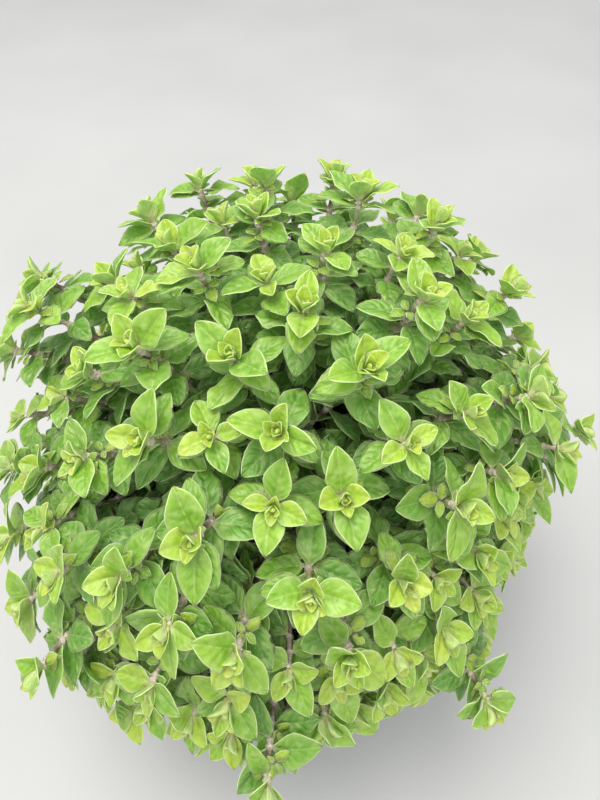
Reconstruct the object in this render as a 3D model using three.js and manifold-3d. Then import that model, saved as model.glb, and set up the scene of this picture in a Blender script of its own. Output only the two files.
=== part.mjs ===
// An oregano plant in a round nursery pot. Units are millimetres, +Z is up, and the origin is the centre
// of the pot's base. The bush is a ball of rosettes: every shoot tip looks out from one centre above the
// soil, and its leaves keep inside its own cone of directions, so that no two stems meet.
import * as THREE from "three";
import { mergeVertices } from "three/addons/utils/BufferGeometryUtils.js";
import Module from "manifold-3d";

const wasm = await Module();
wasm.setup();

const DEGREE = Math.PI / 180;
const GOLDEN_ANGLE = Math.PI * (3 - Math.sqrt(5));

// Driving dimensions.
const pot = {
  height: 108,
  baseRadius: 46,
  neckRadius: 60,
  rimRadius: 65,
  rimDepth: 15,
  wall: 1.8,
  floor: 2.4,
  sides: 32,
  drainHoles: 5,
  drainRadius: 4,
  drainCircle: 30,
  clear: 2.5, // between the rim and the nearest leaf
};
const soil = { top: 97, mound: 3, ringShares: [0.75, 0.4], lumps: 0.7, gap: 0.3, sides: 24 };
const bush = {
  centre: new THREE.Vector3(0, 0, 126),
  tips: 104,
  stems: 31,
  lowestPolar: 101 * DEGREE, // of the lowest tips, measured from straight up
  tipRadius: 105, // from the bush's centre to a shoot tip
  tipScatter: 5,
  jitter: 2.6 * DEGREE,
  sizeScatter: 0.09,
  gap: 0.5, // kept clear on each side of a cone's wall
  droop: 17, // how far the outermost shoots sag
  droopFrom: 60, // distance from the axis where the sag starts
  droopOver: 55,
};
// Where the leaders stand in the soil, and how far from the bush's centre they straighten.
const crown = { radius: 35, depth: 9, collar: 4.5, elbow: 60 };
// Where the side shoots leave their leader, in steps out from the bush's centre, and how soon they turn.
const branching = { start: 62, step: 6, steps: 3, bend: 0.2 };
// Square stems, measured across the flats.
const stalk = { foot: 2.1, shoot: 1.3, top: 1.4, node: 1.7, bud: 4 };
const leaf = { length: 14.2, width: 9.4, thick: 0.8 };
// How a leaf gives way where its cone is narrow.
const giveWay = { tiltStep: 7 * DEGREE, steepest: 76 * DEGREE, shrink: 0.88, smallest: 0.4 };

// The stations of a blade between its foot and its tip: how far along, how wide from the midrib to the
// edge as a share of the leaf's width, and whether the upper face is creased there too.
const ovalOutline = [
  { along: 0.32, half: 0.5, creased: true },
  { along: 0.7, half: 0.37, creased: false },
];
const kiteOutline = [{ along: 0.42, half: 0.5, creased: true }];

// The leaf pairs of a shoot. Sizes are shares of a full-grown leaf, tilts are measured up from square to
// the stem, a cup lifts the blade's edges and a bend drops its point. The leaves of a roaming pair may
// reach past their own cone into those of the same stem's other tips.
const topPair = { size: 0.76, tilt: 50 * DEGREE, cup: 0.3, bend: -0.04, outline: kiteOutline };
const spreadPair = { size: 1, tilt: 25 * DEGREE, cup: 0.2, bend: 0.1, outline: ovalOutline };
const lowerPair = {
  size: 1.1,
  tilt: 18 * DEGREE,
  cup: 0.12,
  bend: 0.16,
  outline: kiteOutline,
  roams: true,
};

// Where the pairs stand, from the bottom up, as depths down the shoot from its tip. Each pair is turned
// a quarter from the one below it: even pairs on two opposite faces of the stem, odd pairs on the other
// two.
const shootNodes = [
  { depth: 9, even: lowerPair },
  { depth: 0, even: topPair, odd: spreadPair },
];
const leaderNodes = [{ depth: 21, odd: lowerPair }, ...shootNodes];

// Shoots that grow past the others: their direction from the bush's centre, and how much longer they are.
const strays = [
  { azimuth: 168 * DEGREE, polar: 49 * DEGREE, extra: 19 },
  { azimuth: 179 * DEGREE, polar: 57 * DEGREE, extra: 18 },
  { azimuth: 198 * DEGREE, polar: 67 * DEGREE, extra: 12 },
  { azimuth: 216 * DEGREE, polar: 79 * DEGREE, extra: 15 },
  { azimuth: 228 * DEGREE, polar: 76 * DEGREE, extra: 24 },
  { azimuth: 265 * DEGREE, polar: 87 * DEGREE, extra: 18 },
  { azimuth: 303 * DEGREE, polar: 87 * DEGREE, extra: 13 },
  { azimuth: 350 * DEGREE, polar: 66 * DEGREE, extra: 8 },
  { azimuth: 125 * DEGREE, polar: 36 * DEGREE, extra: 6 },
];
// Where the bush grew fuller or thinner than elsewhere: the middle of that side, the length that shoots
// gain or lose there, and the angle over which that fades.
const flanks = [
  { azimuth: 225 * DEGREE, polar: 80 * DEGREE, extra: 8, spread: 28 * DEGREE },
  { azimuth: 322 * DEGREE, polar: 82 * DEGREE, extra: -17, spread: 30 * DEGREE },
];

const material = {
  pot: new THREE.MeshStandardMaterial({ color: 0x34363a, roughness: 0.6, metalness: 0 }),
  soil: new THREE.MeshStandardMaterial({ color: 0x3d2d21, roughness: 1, metalness: 0 }),
  foliage: new THREE.MeshStandardMaterial({ color: 0x8fbe4e, roughness: 0.55, metalness: 0 }),
};

// A repeatable draw from 0 to 1 for one tip.
function draw(tip, channel) {
  const value = Math.sin(tip * 12.9898 + channel * 78.233) * 43758.5453;
  return value - Math.floor(value);
}

// A repeatable draw from -1 to 1.
const scatter = (tip, channel) => 2 * draw(tip, channel) - 1;

function directionOf(polar, azimuth) {
  return new THREE.Vector3(
    Math.sin(polar) * Math.cos(azimuth),
    Math.sin(polar) * Math.sin(azimuth),
    Math.cos(polar),
  );
}

// The point at a distance from the bush's centre.
const outward = (direction, distance) => bush.centre.clone().addScaledVector(direction, distance);

// Outer shoots hang under their own weight: points far from the axis sink.
function sag(point) {
  const reach = Math.hypot(point.x, point.y) - bush.droopFrom;
  const share = THREE.MathUtils.clamp(reach / bush.droopOver, 0, 1.3);
  return point.setZ(point.z - bush.droop * share * share);
}

// Tips lie on a golden spiral from the top of the ball down, each a little off its place.
function makeTips() {
  const tips = [];
  for (let index = 0; index < bush.tips; index++) {
    const share = (index + 0.5) / bush.tips;
    const polar = Math.acos(1 - share * (1 - Math.cos(bush.lowestPolar)));
    const wander = bush.jitter / Math.max(Math.sin(polar), 0.25);
    tips.push({
      index,
      direction: directionOf(
        polar + bush.jitter * scatter(index, 1),
        index * GOLDEN_ANGLE + wander * scatter(index, 2),
      ),
      radius: bush.tipRadius + bush.tipScatter * scatter(index, 3),
      twist: Math.PI * draw(index, 4),
      vigour: 1 + bush.sizeScatter * scatter(index, 5),
    });
  }
  for (const flank of flanks) {
    const middle = directionOf(flank.polar, flank.azimuth);
    for (const tip of tips) {
      const off = Math.acos(Math.min(tip.direction.dot(middle), 1)) / flank.spread;
      tip.radius += flank.extra * Math.exp(-off * off);
    }
  }
  for (const stray of strays) {
    const direction = directionOf(stray.polar, stray.azimuth);
    const tip = nearest(tips, direction);
    tip.direction = direction;
    tip.radius = bush.tipRadius + stray.extra;
  }
  return tips;
}

function nearest(tips, direction) {
  return tips.reduce((best, tip) =>
    tip.direction.dot(direction) > best.direction.dot(direction) ? tip : best,
  );
}

// The leaders are the tips that stand farthest apart. Every other tip is a side shoot of the nearest
// leader.
function chooseLeaders(tips) {
  const leaders = [tips[0]];
  while (leaders.length < bush.stems) {
    const closeness = (tip) => Math.max(...leaders.map((l) => l.direction.dot(tip.direction)));
    leaders.push(tips.reduce((best, tip) => (closeness(tip) < closeness(best) ? tip : best)));
  }
  return leaders;
}

// A closed triangle surface that grows point by point.
class Surface {
  points = [];
  corners = [];

  add(point) {
    this.points.push(point);
    return this.points.length - 1;
  }

  triangle(a, b, c) {
    if (a !== b && b !== c && a !== c) this.corners.push(a, b, c);
  }

  quad(a, b, c, d) {
    this.triangle(a, b, c);
    this.triangle(a, c, d);
  }

  // Joins two rows that run side by side. Where they differ in length, the shorter row moves on at a tie.
  stitch(near, far, reversed) {
    let i = 0;
    let j = 0;
    const shareOf = (row, k) => (k < row.length - 1 ? (k + 1) / (row.length - 1) : Infinity);
    while (i < near.length - 1 || j < far.length - 1) {
      const [a, b] = [shareOf(near, i), shareOf(far, j)];
      const moveNear = a < b || (a === b && near.length < far.length);
      const third = moveNear ? near[i + 1] : far[j + 1];
      if (reversed) this.triangle(near[i], third, far[j]);
      else this.triangle(near[i], far[j], third);
      if (moveNear) i += 1;
      else j += 1;
    }
  }
}

function solidOf(surface) {
  const vertProperties = new Float32Array(surface.points.flatMap((p) => sag(p.clone()).toArray()));
  return new wasm.Manifold(
    new wasm.Mesh({ numProp: 3, vertProperties, triVerts: new Uint32Array(surface.corners) }),
  );
}

function solidOfGeometry(geometry) {
  const bare = new THREE.BufferGeometry().setIndex(geometry.index);
  bare.setAttribute("position", geometry.getAttribute("position"));
  const merged = mergeVertices(bare, 1e-3);
  return new wasm.Manifold(
    new wasm.Mesh({
      numProp: 3,
      vertProperties: new Float32Array(merged.getAttribute("position").array),
      triVerts: new Uint32Array(merged.index.array),
    }),
  );
}

function meshOf(name, solid, look) {
  const { vertProperties, triVerts } = solid.getMesh();
  const geometry = new THREE.BufferGeometry()
    .setAttribute("position", new THREE.BufferAttribute(new Float32Array(vertProperties), 3))
    .setIndex(new THREE.BufferAttribute(new Uint32Array(triVerts), 1));
  geometry.computeVertexNormals();
  const mesh = new THREE.Mesh(geometry, look);
  mesh.name = name;
  return mesh;
}

// True where a point lies in the cone of one of its own tips, clear of the cones of all the others.
function inCones(point, own, tips) {
  const arm = point.clone().sub(bush.centre);
  const others = tips.filter((tip) => !own.includes(tip));
  return own.some((tip) =>
    others.every((other) => {
      const across = tip.direction.clone().sub(other.direction);
      return arm.dot(across) >= bush.gap * across.length();
    }),
  );
}

// The rows of points of a blade, from its foot out. Each row has its right and left edge, and the midrib
// on the upper and the lower face. The axes run along the leaf, across it and up from its upper face.
function bladeRows(root, axes, length, pair) {
  const width = leaf.width * (length / leaf.length);
  const at = (along, across, up) =>
    root
      .clone()
      .addScaledVector(axes.along, along * length)
      .addScaledVector(axes.across, across * width)
      .addScaledVector(axes.up, up);
  const rows = pair.outline.map(({ along, half, creased }) => {
    const level = -pair.bend * length * along * along;
    const lift = level + pair.cup * half * width;
    return {
      right: at(along, -half, lift),
      left: at(along, half, lift),
      upperRib: creased ? at(along, 0, level) : null,
      lowerRib: at(along, 0, level - leaf.thick),
    };
  });
  return { rows, tip: at(1, 0, -pair.bend * length) };
}

// True where a point of the bush, once it has sagged, is clear of the pot's rim and the soil.
function clearOfPot(point) {
  const place = sag(point.clone());
  const reach = Math.hypot(place.x, place.y);
  return place.z > pot.height + pot.clear || reach > pot.rimRadius + pot.clear;
}

// A leaf stays inside its own tip's cone, or a roaming one inside its whole stem's cones: it rises until
// it fits, and if it can't, it is shorter.
function fitBlade(root, frame, pair, tip, tips) {
  const own = pair.roams ? tips.filter((other) => other.leader === tip.leader) : [tip];
  const { tiltStep, steepest, shrink, smallest } = giveWay;
  const full = leaf.length * pair.size * tip.vigour;
  for (let length = full; length > smallest * leaf.length; length *= shrink) {
    for (let tilt = pair.tilt; tilt < steepest; tilt += tiltStep) {
      const along = frame.out
        .clone()
        .multiplyScalar(Math.cos(tilt))
        .addScaledVector(frame.axis, Math.sin(tilt));
      const axes = { along, across: frame.across, up: along.clone().cross(frame.across) };
      const blade = bladeRows(root, axes, length, pair);
      const points = [blade.tip, ...blade.rows.flatMap((row) => Object.values(row))];
      const fits = (point) => !point || (clearOfPot(point) && inCones(point, own, tips));
      if (points.every(fits)) return blade;
    }
  }
  return null;
}

// Grows a blade out of one face of the stem, whose corners are low right, low left, high left and high
// right.
function addBlade(surface, face, blade) {
  let upper = [face[3], face[2]];
  let lower = [face[0], face[1]];
  for (const row of blade.rows) {
    const right = surface.add(row.right);
    const left = surface.add(row.left);
    const nextUpper = row.upperRib ? [right, surface.add(row.upperRib), left] : [right, left];
    const nextLower = [right, surface.add(row.lowerRib), left];
    surface.stitch(upper, nextUpper, false);
    surface.stitch(lower, nextLower, true);
    surface.triangle(lower[0], right, upper[0]);
    surface.triangle(lower.at(-1), upper.at(-1), left);
    upper = nextUpper;
    lower = nextLower;
  }
  const tip = [surface.add(blade.tip)];
  surface.stitch(upper, tip, false);
  surface.stitch(lower, tip, true);
}

// Unit vectors across the path at each of its points, turned as little as possible from one to the next.
function framesAlong(centres, twist) {
  const frames = [];
  let side = null;
  centres.forEach((centre, i) => {
    const before = centres[Math.max(i - 1, 0)];
    const after = centres[Math.min(i + 1, centres.length - 1)];
    const axis = after.clone().sub(before).normalize();
    if (!side) {
      const helper = Math.abs(axis.z) > 0.9 ? new THREE.Vector3(1, 0, 0) : new THREE.Vector3(0, 0, 1);
      side = helper.addScaledVector(axis, -helper.dot(axis)).normalize().applyAxisAngle(axis, twist);
    } else {
      side = side.clone().addScaledVector(axis, -side.dot(axis)).normalize();
    }
    const sides = [0, 1, 2, 3].map((k) => side.clone().applyAxisAngle(axis, (k * Math.PI) / 2));
    frames.push({ axis, sides });
  });
  return frames;
}

// A square stem up its path, and then straight out to its tip through the nodes that carry its leaves.
// Each node is a short stretch of stem, and a leaf takes the place of one of its faces. A pointed bud
// ends the shoot.
function growShoot(path, across, nodes, tip, tips) {
  const stations = path.map((centre) => ({ centre, across, node: null }));
  for (const node of nodes) {
    const foot = outward(tip.direction, tip.radius - node.depth - stalk.node);
    const top = outward(tip.direction, tip.radius - node.depth);
    stations.push({ centre: foot, across: stalk.top, node }, { centre: top, across: stalk.top, node: null });
  }

  const surface = new Surface();
  const centres = stations.map((station) => station.centre);
  const frames = framesAlong(centres, tip.twist);
  const rings = stations.map(({ centre, across }, i) =>
    [0, 1, 2, 3].map((k) =>
      surface.add(
        centre
          .clone()
          .addScaledVector(frames[i].sides[k], across / 2)
          .addScaledVector(frames[i].sides[(k + 3) % 4], across / 2),
      ),
    ),
  );
  for (let i = 0; i < rings.length - 1; i++) {
    const { node } = stations[i];
    for (let k = 0; k < 4; k++) {
      const pair = node && (k % 2 === 0 ? node.even : node.odd);
      const next = (k + 1) % 4;
      const face = [rings[i][k], rings[i][next], rings[i + 1][next], rings[i + 1][k]];
      let blade = null;
      if (pair) {
        const { axis, sides } = frames[i + 1];
        const frame = { out: sides[k], across: sides[next], axis };
        const middle = centres[i].clone().lerp(centres[i + 1], 0.5);
        const root = middle.addScaledVector(frame.out, stations[i].across / 2);
        blade = fitBlade(root, frame, pair, tip, tips);
      }
      if (blade) addBlade(surface, face, blade);
      else surface.quad(...face);
    }
  }
  const foot = rings[0];
  surface.quad(foot[3], foot[2], foot[1], foot[0]);
  const bud = surface.add(centres.at(-1).clone().addScaledVector(frames.at(-1).axis, stalk.bud));
  for (let k = 0; k < 4; k++) surface.triangle(rings.at(-1)[k], rings.at(-1)[(k + 1) % 4], bud);
  return solidOf(surface);
}

const midCurve = (from, bendAt, to) => new THREE.QuadraticBezierCurve3(from, bendAt, to).getPoint(0.5);

// Where a leader's stem stands in the soil: the stems spread over the crown as the tips spread over the
// ball.
function footOf(tip) {
  const polar = Math.acos(tip.direction.z);
  const spread = crown.radius * (Math.sin(polar / 2) / Math.sin(bush.lowestPolar / 2));
  const flat = new THREE.Vector3(tip.direction.x, tip.direction.y, 0).normalize();
  return flat.multiplyScalar(spread).setZ(soil.top - crown.depth);
}

// A leader rises straight out of the soil, bends outward over the rim, and runs straight on to its tip.
function growLeader(tip, tips) {
  const foot = footOf(tip);
  const collar = foot.clone().setZ(soil.top + crown.collar);
  const spread = Math.hypot(foot.x, foot.y);
  const polar = Math.acos(tip.direction.z);
  const corner = outward(tip.direction, Math.min(spread / Math.max(Math.sin(polar), 0.05), crown.radius));
  const elbow = outward(tip.direction, crown.elbow);
  const path = [foot, collar, midCurve(collar, corner, elbow), elbow];
  return growShoot(path, stalk.foot, leaderNodes, tip, tips);
}

// A side shoot starts inside its leader's stem and curves out to its own tip.
function growSideShoot(tip, leader, order, tips) {
  const start = branching.start + branching.step * (order % branching.steps);
  const from = outward(leader.direction, start);
  const bendAt = outward(tip.direction, start + branching.bend * (tip.radius - start));
  const to = outward(tip.direction, tip.radius - shootNodes[0].depth - 2 * stalk.node);
  const path = [from, midCurve(from, bendAt, to)];
  return growShoot(path, stalk.shoot, shootNodes, tip, tips);
}

function makePot() {
  const { height, baseRadius, neckRadius, rimRadius, rimDepth, wall, floor } = pot;
  const chamfer = 1.5;
  const outline = [
    [0, 0],
    [baseRadius - chamfer, 0],
    [baseRadius, chamfer],
    [neckRadius, height - rimDepth],
    [rimRadius - 1, height - rimDepth],
    [rimRadius, height - chamfer],
    [rimRadius - chamfer, height],
    [rimRadius - 2 * wall, height],
    [baseRadius - wall, floor],
    [0, floor],
  ];
  const lathe = new THREE.LatheGeometry(
    outline.map(([radius, z]) => new THREE.Vector2(radius, z)),
    pot.sides,
  ).rotateX(Math.PI / 2);
  let solid = solidOfGeometry(lathe);
  for (let hole = 0; hole < pot.drainHoles; hole++) {
    const angle = (hole * 2 * Math.PI) / pot.drainHoles;
    const bore = new THREE.CylinderGeometry(pot.drainRadius, pot.drainRadius, 3 * floor, 8)
      .rotateX(Math.PI / 2)
      .translate(pot.drainCircle * Math.cos(angle), pot.drainCircle * Math.sin(angle), floor / 2);
    solid = solid.subtract(solidOfGeometry(bore));
  }
  return meshOf("pot", solid, material.pot);
}

// The radius of the pot's inner wall at a height.
function innerRadius(z) {
  const low = pot.baseRadius - pot.wall;
  const high = pot.rimRadius - 2 * pot.wall;
  return low + ((high - low) * (z - pot.floor)) / (pot.height - pot.floor);
}

// The potting soil: it fills the pot, is mounded and lumpy on top, and has a square hole round each stem.
function makeSoil(leaders) {
  const bottom = pot.floor + soil.gap;
  const clear = 2 * soil.gap;
  const edge = (z) => innerRadius(z) * Math.cos(Math.PI / pot.sides) - clear;
  const outline = [[0, bottom], [edge(bottom), bottom], [edge(soil.top), soil.top]];
  for (const share of soil.ringShares) {
    outline.push([edge(soil.top) * share, soil.top + soil.mound * (1 - share * share)]);
  }
  outline.push([0, soil.top + soil.mound]);
  const lathe = new THREE.LatheGeometry(
    outline.map(([radius, z]) => new THREE.Vector2(radius, z)),
    soil.sides,
  ).rotateX(Math.PI / 2);
  const place = lathe.getAttribute("position");
  for (let i = 0; i < place.count; i++) {
    const [x, y, z] = [place.getX(i), place.getY(i), place.getZ(i)];
    if (z > soil.top + 0.1) place.setZ(i, z + soil.lumps * Math.sin(0.31 * x + 1) * Math.cos(0.27 * y));
  }
  let solid = solidOfGeometry(lathe);
  const across = stalk.foot + 2 * soil.gap;
  const depth = 2 * crown.depth;
  for (const tip of leaders) {
    const foot = footOf(tip);
    const hole = new THREE.BoxGeometry(across, across, depth)
      .rotateZ(tip.twist)
      .translate(foot.x, foot.y, foot.z - soil.gap + depth / 2);
    solid = solid.subtract(solidOfGeometry(hole));
  }
  return meshOf("soil", solid, material.soil);
}

// One leafy stem: the leader and its side shoots, joined where they branch.
function makeStem(leader, number, tips) {
  const sides = tips.filter((tip) => tip.leader === leader && tip !== leader);
  const shoots = sides.map((tip, order) => growSideShoot(tip, leader, order, tips));
  const solid = shoots.reduce((joined, shoot) => joined.add(shoot), growLeader(leader, tips));
  return meshOf(`leafy_stem_${String(number + 1).padStart(2, "0")}`, solid, material.foliage);
}

const tips = makeTips();
const leaders = chooseLeaders(tips);
for (const tip of tips) tip.leader = nearest(leaders, tip.direction);

const plant = new THREE.Group();
plant.add(makePot(), makeSoil(leaders));
leaders.forEach((leader, number) => plant.add(makeStem(leader, number, tips)));

export default plant;
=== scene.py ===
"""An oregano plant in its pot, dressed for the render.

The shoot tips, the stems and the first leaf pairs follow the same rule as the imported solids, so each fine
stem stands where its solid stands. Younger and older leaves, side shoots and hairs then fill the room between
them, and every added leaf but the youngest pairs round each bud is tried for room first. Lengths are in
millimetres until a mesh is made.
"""

import math
from dataclasses import dataclass, field
from functools import reduce
from itertools import product

import bmesh
import bpy
import numpy as np
from mathutils import Matrix, Vector, noise
from mathutils.bvhtree import BVHTree


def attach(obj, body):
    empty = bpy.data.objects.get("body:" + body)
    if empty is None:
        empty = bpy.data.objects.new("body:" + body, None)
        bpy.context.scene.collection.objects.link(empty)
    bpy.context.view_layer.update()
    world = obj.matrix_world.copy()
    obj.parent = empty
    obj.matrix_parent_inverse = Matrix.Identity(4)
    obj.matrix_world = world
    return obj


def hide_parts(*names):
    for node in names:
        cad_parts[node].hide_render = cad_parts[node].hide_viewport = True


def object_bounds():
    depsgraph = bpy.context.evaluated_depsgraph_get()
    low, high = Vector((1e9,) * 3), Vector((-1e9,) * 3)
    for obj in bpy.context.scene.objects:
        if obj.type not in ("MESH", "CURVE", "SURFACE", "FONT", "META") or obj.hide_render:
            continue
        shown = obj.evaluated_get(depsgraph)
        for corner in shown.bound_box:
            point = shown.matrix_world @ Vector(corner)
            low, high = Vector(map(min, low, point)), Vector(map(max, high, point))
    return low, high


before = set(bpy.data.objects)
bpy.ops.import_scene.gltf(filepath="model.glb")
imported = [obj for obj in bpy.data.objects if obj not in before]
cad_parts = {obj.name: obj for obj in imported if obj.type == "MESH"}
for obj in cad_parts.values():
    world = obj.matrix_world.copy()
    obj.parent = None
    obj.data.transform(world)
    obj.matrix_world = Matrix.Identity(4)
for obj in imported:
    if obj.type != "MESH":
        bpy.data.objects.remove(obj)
cad_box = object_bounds()

MM = 0.001
DEGREE = math.pi / 180
GOLDEN_ANGLE = math.pi * (3 - math.sqrt(5))
UP = np.array([0.0, 0.0, 1.0])

# The pot, the soil and the bush, as in the solids.
POT_HEIGHT, POT_BASE, POT_NECK, POT_RIM, RIM_DEPTH, POT_WALL, POT_FLOOR = 108, 46, 60, 65, 15, 1.8, 2.4
POT_CLEAR = 2.5  # kept clear of the pot by the first leaves
DRAIN_HOLES, DRAIN_RADIUS, DRAIN_CIRCLE = 5, 4, 30
SOIL_TOP, SOIL_MOUND = 97, 3
CENTRE = np.array([0.0, 0.0, 126.0])
TIPS, STEMS = 104, 31
LOWEST_POLAR = 101 * DEGREE
TIP_RADIUS, TIP_SCATTER = 105, 5
JITTER = 2.6 * DEGREE
SIZE_SCATTER = 0.09
CONE_GAP = 0.5
DROOP, DROOP_FROM, DROOP_OVER = 17, 60, 55
CROWN_RADIUS, CROWN_DEPTH, CROWN_COLLAR, CROWN_ELBOW = 35, 9, 4.5, 60
BRANCH_START, BRANCH_STEP, BRANCH_STEPS, BRANCH_BEND = 62, 6, 3, 0.2
STALK_FOOT, STALK_SHOOT, STALK_TOP, STALK_NODE = 2.1, 1.3, 1.4, 1.7
SIDE_STALK = (1.4, 1.2)  # thickness of a fine side shoot at its start and at its tip
LEAF_LENGTH, LEAF_WIDTH, SOLID_THICKNESS = 14.2, 9.4, 0.8
BLADE_WIDTH = 8.7  # of the fine leaves, which round off the corners of the solid ones
TILT_STEP, STEEPEST, SHRINK, SMALLEST = 7 * DEGREE, 76 * DEGREE, 0.88, 0.4
STRAYS = [  # azimuth, polar angle, extra length
    (168, 49, 19),
    (179, 57, 18),
    (198, 67, 12),
    (216, 79, 15),
    (228, 76, 24),
    (265, 87, 18),
    (303, 87, 13),
    (350, 66, 8),
    (125, 36, 6),
]
FLANKS = [  # azimuth, polar angle, extra length, spread: where the bush grew fuller or thinner than elsewhere
    (225, 80, 8, 28),
    (322, 82, -17, 30),
]
OVAL = [(0.32, 0.5), (0.7, 0.37)]  # where the solids measure a blade: along it, and from midrib to edge
KITE = [(0.42, 0.5)]


# ---- Camera ----

CAMERA_PLACE = (0, -159.5, 347)
CAMERA_TILT = 50  # degrees below level
LENS = 28.7

camera_data = bpy.data.cameras.new("camera")
camera_data.lens = LENS
camera_data.clip_start = 0.01
camera = bpy.data.objects.new("camera", camera_data)
camera.location = [v * MM for v in CAMERA_PLACE]
camera.rotation_euler = ((90 - CAMERA_TILT) * DEGREE, 0, 0)
bpy.context.scene.collection.objects.link(camera)
bpy.context.scene.camera = camera


# ---- The rule that places tips, stems and leaves, as in the solids ----


@dataclass
class Pair:
    """Two opposite leaves: their size, their tilt up from square to the stem, and the blade's form."""

    size: float
    tilt: float
    cup: float
    bend: float
    age: float
    outline: list = field(default_factory=lambda: KITE)
    roams: bool = False


TOP_PAIR = Pair(0.76, 50 * DEGREE, 0.3, -0.04, 0.22)
SPREAD_PAIR = Pair(1, 25 * DEGREE, 0.2, 0.1, 0.42, OVAL)
LOWER_PAIR = Pair(1.1, 18 * DEGREE, 0.12, 0.16, 0.6, roams=True)
SHOOT_NODES = [(9, LOWER_PAIR, None), (0, TOP_PAIR, SPREAD_PAIR)]  # depth below the tip, even and odd pair
LEADER_NODES = [(21, None, LOWER_PAIR)] + SHOOT_NODES


def draw(tip, channel):
    """A repeatable draw from 0 to 1."""
    value = math.sin(tip * 12.9898 + channel * 78.233) * 43758.5453
    return value - math.floor(value)


def scatter(tip, channel):
    return 2 * draw(tip, channel) - 1


def unit(vector):
    return vector / np.linalg.norm(vector)


def turned(vector, axis, angle):
    """The vector turned about a unit axis."""
    cos, sin = math.cos(angle), math.sin(angle)
    return vector * cos + np.cross(axis, vector) * sin + axis * axis.dot(vector) * (1 - cos)


def direction_of(polar, azimuth):
    flat = math.sin(polar)
    return np.array([flat * math.cos(azimuth), flat * math.sin(azimuth), math.cos(polar)])


def outward(direction, distance):
    return CENTRE + direction * distance


def sag(points):
    """Points far from the axis sink, as outer shoots do under their own weight."""
    points = np.array(points, dtype=float)
    reach = np.hypot(points[..., 0], points[..., 1]) - DROOP_FROM
    share = np.clip(reach / DROOP_OVER, 0, 1.3)
    points[..., 2] -= DROOP * share * share
    return points


@dataclass(eq=False)
class Tip:
    direction: np.ndarray
    radius: float
    twist: float
    vigour: float
    leader: object = None


def nearest(tips, direction):
    return max(tips, key=lambda tip: tip.direction.dot(direction))


def make_tips():
    """Shoot tips on a golden spiral from the top of the ball down, each a little off its place."""
    tips = []
    for index in range(TIPS):
        share = (index + 0.5) / TIPS
        polar = math.acos(1 - share * (1 - math.cos(LOWEST_POLAR)))
        wander = JITTER / max(math.sin(polar), 0.25)
        azimuth = index * GOLDEN_ANGLE + wander * scatter(index, 2)
        direction = direction_of(polar + JITTER * scatter(index, 1), azimuth)
        radius = TIP_RADIUS + TIP_SCATTER * scatter(index, 3)
        vigour = 1 + SIZE_SCATTER * scatter(index, 5)
        tips.append(Tip(direction, radius, math.pi * draw(index, 4), vigour))
    for azimuth, polar, extra, spread in FLANKS:
        middle = direction_of(polar * DEGREE, azimuth * DEGREE)
        for tip in tips:
            off = math.acos(min(tip.direction.dot(middle), 1)) / (spread * DEGREE)
            tip.radius += extra * math.exp(-off * off)
    for azimuth, polar, extra in STRAYS:
        direction = direction_of(polar * DEGREE, azimuth * DEGREE)
        stray = nearest(tips, direction)
        stray.direction, stray.radius = direction, TIP_RADIUS + extra
    return tips


def choose_leaders(tips):
    """The leaders are the tips that stand farthest apart."""
    leaders = [tips[0]]
    while len(leaders) < STEMS:
        leaders.append(min(tips, key=lambda tip: max(l.direction.dot(tip.direction) for l in leaders)))
    return leaders


tips = make_tips()
leaders = choose_leaders(tips)
for tip in tips:
    tip.leader = nearest(leaders, tip.direction)
tip_directions = np.array([tip.direction for tip in tips])


def in_cones(points, own):
    """True where every point lies in the cone of one of its own tips, clear of all the other cones."""
    arms = points - CENTRE
    others = np.array([tip.direction for tip in tips if tip not in own])
    inside = np.zeros(len(points), bool)
    for tip in own:
        across = tip.direction - others
        margin = CONE_GAP * np.linalg.norm(across, axis=1)
        inside |= (arms @ across.T >= margin).all(axis=1)
    return inside.all()


def clear_of_pot(points):
    place = sag(points)
    reach = np.hypot(place[:, 0], place[:, 1])
    return ((place[:, 2] > POT_HEIGHT + POT_CLEAR) | (reach > POT_RIM + POT_CLEAR)).all()


def solid_points(root, axes, length, pair):
    """The points where the solids measure a blade."""
    along, across, up = axes
    width = LEAF_WIDTH * length / LEAF_LENGTH
    points = [root + along * length - up * pair.bend * length]
    for share, half in pair.outline:
        level = -pair.bend * length * share * share
        rib = root + along * share * length
        for side in (-1, 1):
            points.append(rib + across * side * half * width + up * (level + pair.cup * half * width))
        points += [rib + up * level, rib + up * (level - SOLID_THICKNESS)]
    return np.array(points)


def blade_axes(out, across, axis, tilt):
    along = out * math.cos(tilt) + axis * math.sin(tilt)
    return along, across, np.cross(along, across)


def fit_blade(root, out, across, axis, pair, tip):
    """The length and tilt that the solid of this leaf has inside its cones."""
    own = [other for other in tips if other.leader is tip.leader] if pair.roams else [tip]
    length = LEAF_LENGTH * pair.size * tip.vigour
    while length > SMALLEST * LEAF_LENGTH:
        tilt = pair.tilt
        while tilt < STEEPEST:
            points = solid_points(root, blade_axes(out, across, axis, tilt), length, pair)
            if clear_of_pot(points) and in_cones(points, own):
                return length, tilt
            tilt += TILT_STEP
        length *= SHRINK
    return None


def frames_along(centres, twist):
    """The axis and four side directions at each station, turned as little as possible along the path."""
    frames = []
    side = None
    for i in range(len(centres)):
        axis = unit(centres[min(i + 1, len(centres) - 1)] - centres[max(i - 1, 0)])
        if side is None:
            helper = np.array([1.0, 0, 0]) if abs(axis[2]) > 0.9 else UP
            side = turned(unit(helper - axis * helper.dot(axis)), axis, twist)
        else:
            side = unit(side - axis * side.dot(axis))
        frames.append((axis, [turned(side, axis, k * math.pi / 2) for k in range(4)]))
    return frames


def bezier(start, bend_at, end, count):
    """Points on a quadratic curve, without its first."""
    shares = np.linspace(0, 1, count + 1)[1:, None]
    return list((1 - shares) ** 2 * start + 2 * shares * (1 - shares) * bend_at + shares**2 * end)


# ---- What has grown so far ----

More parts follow.
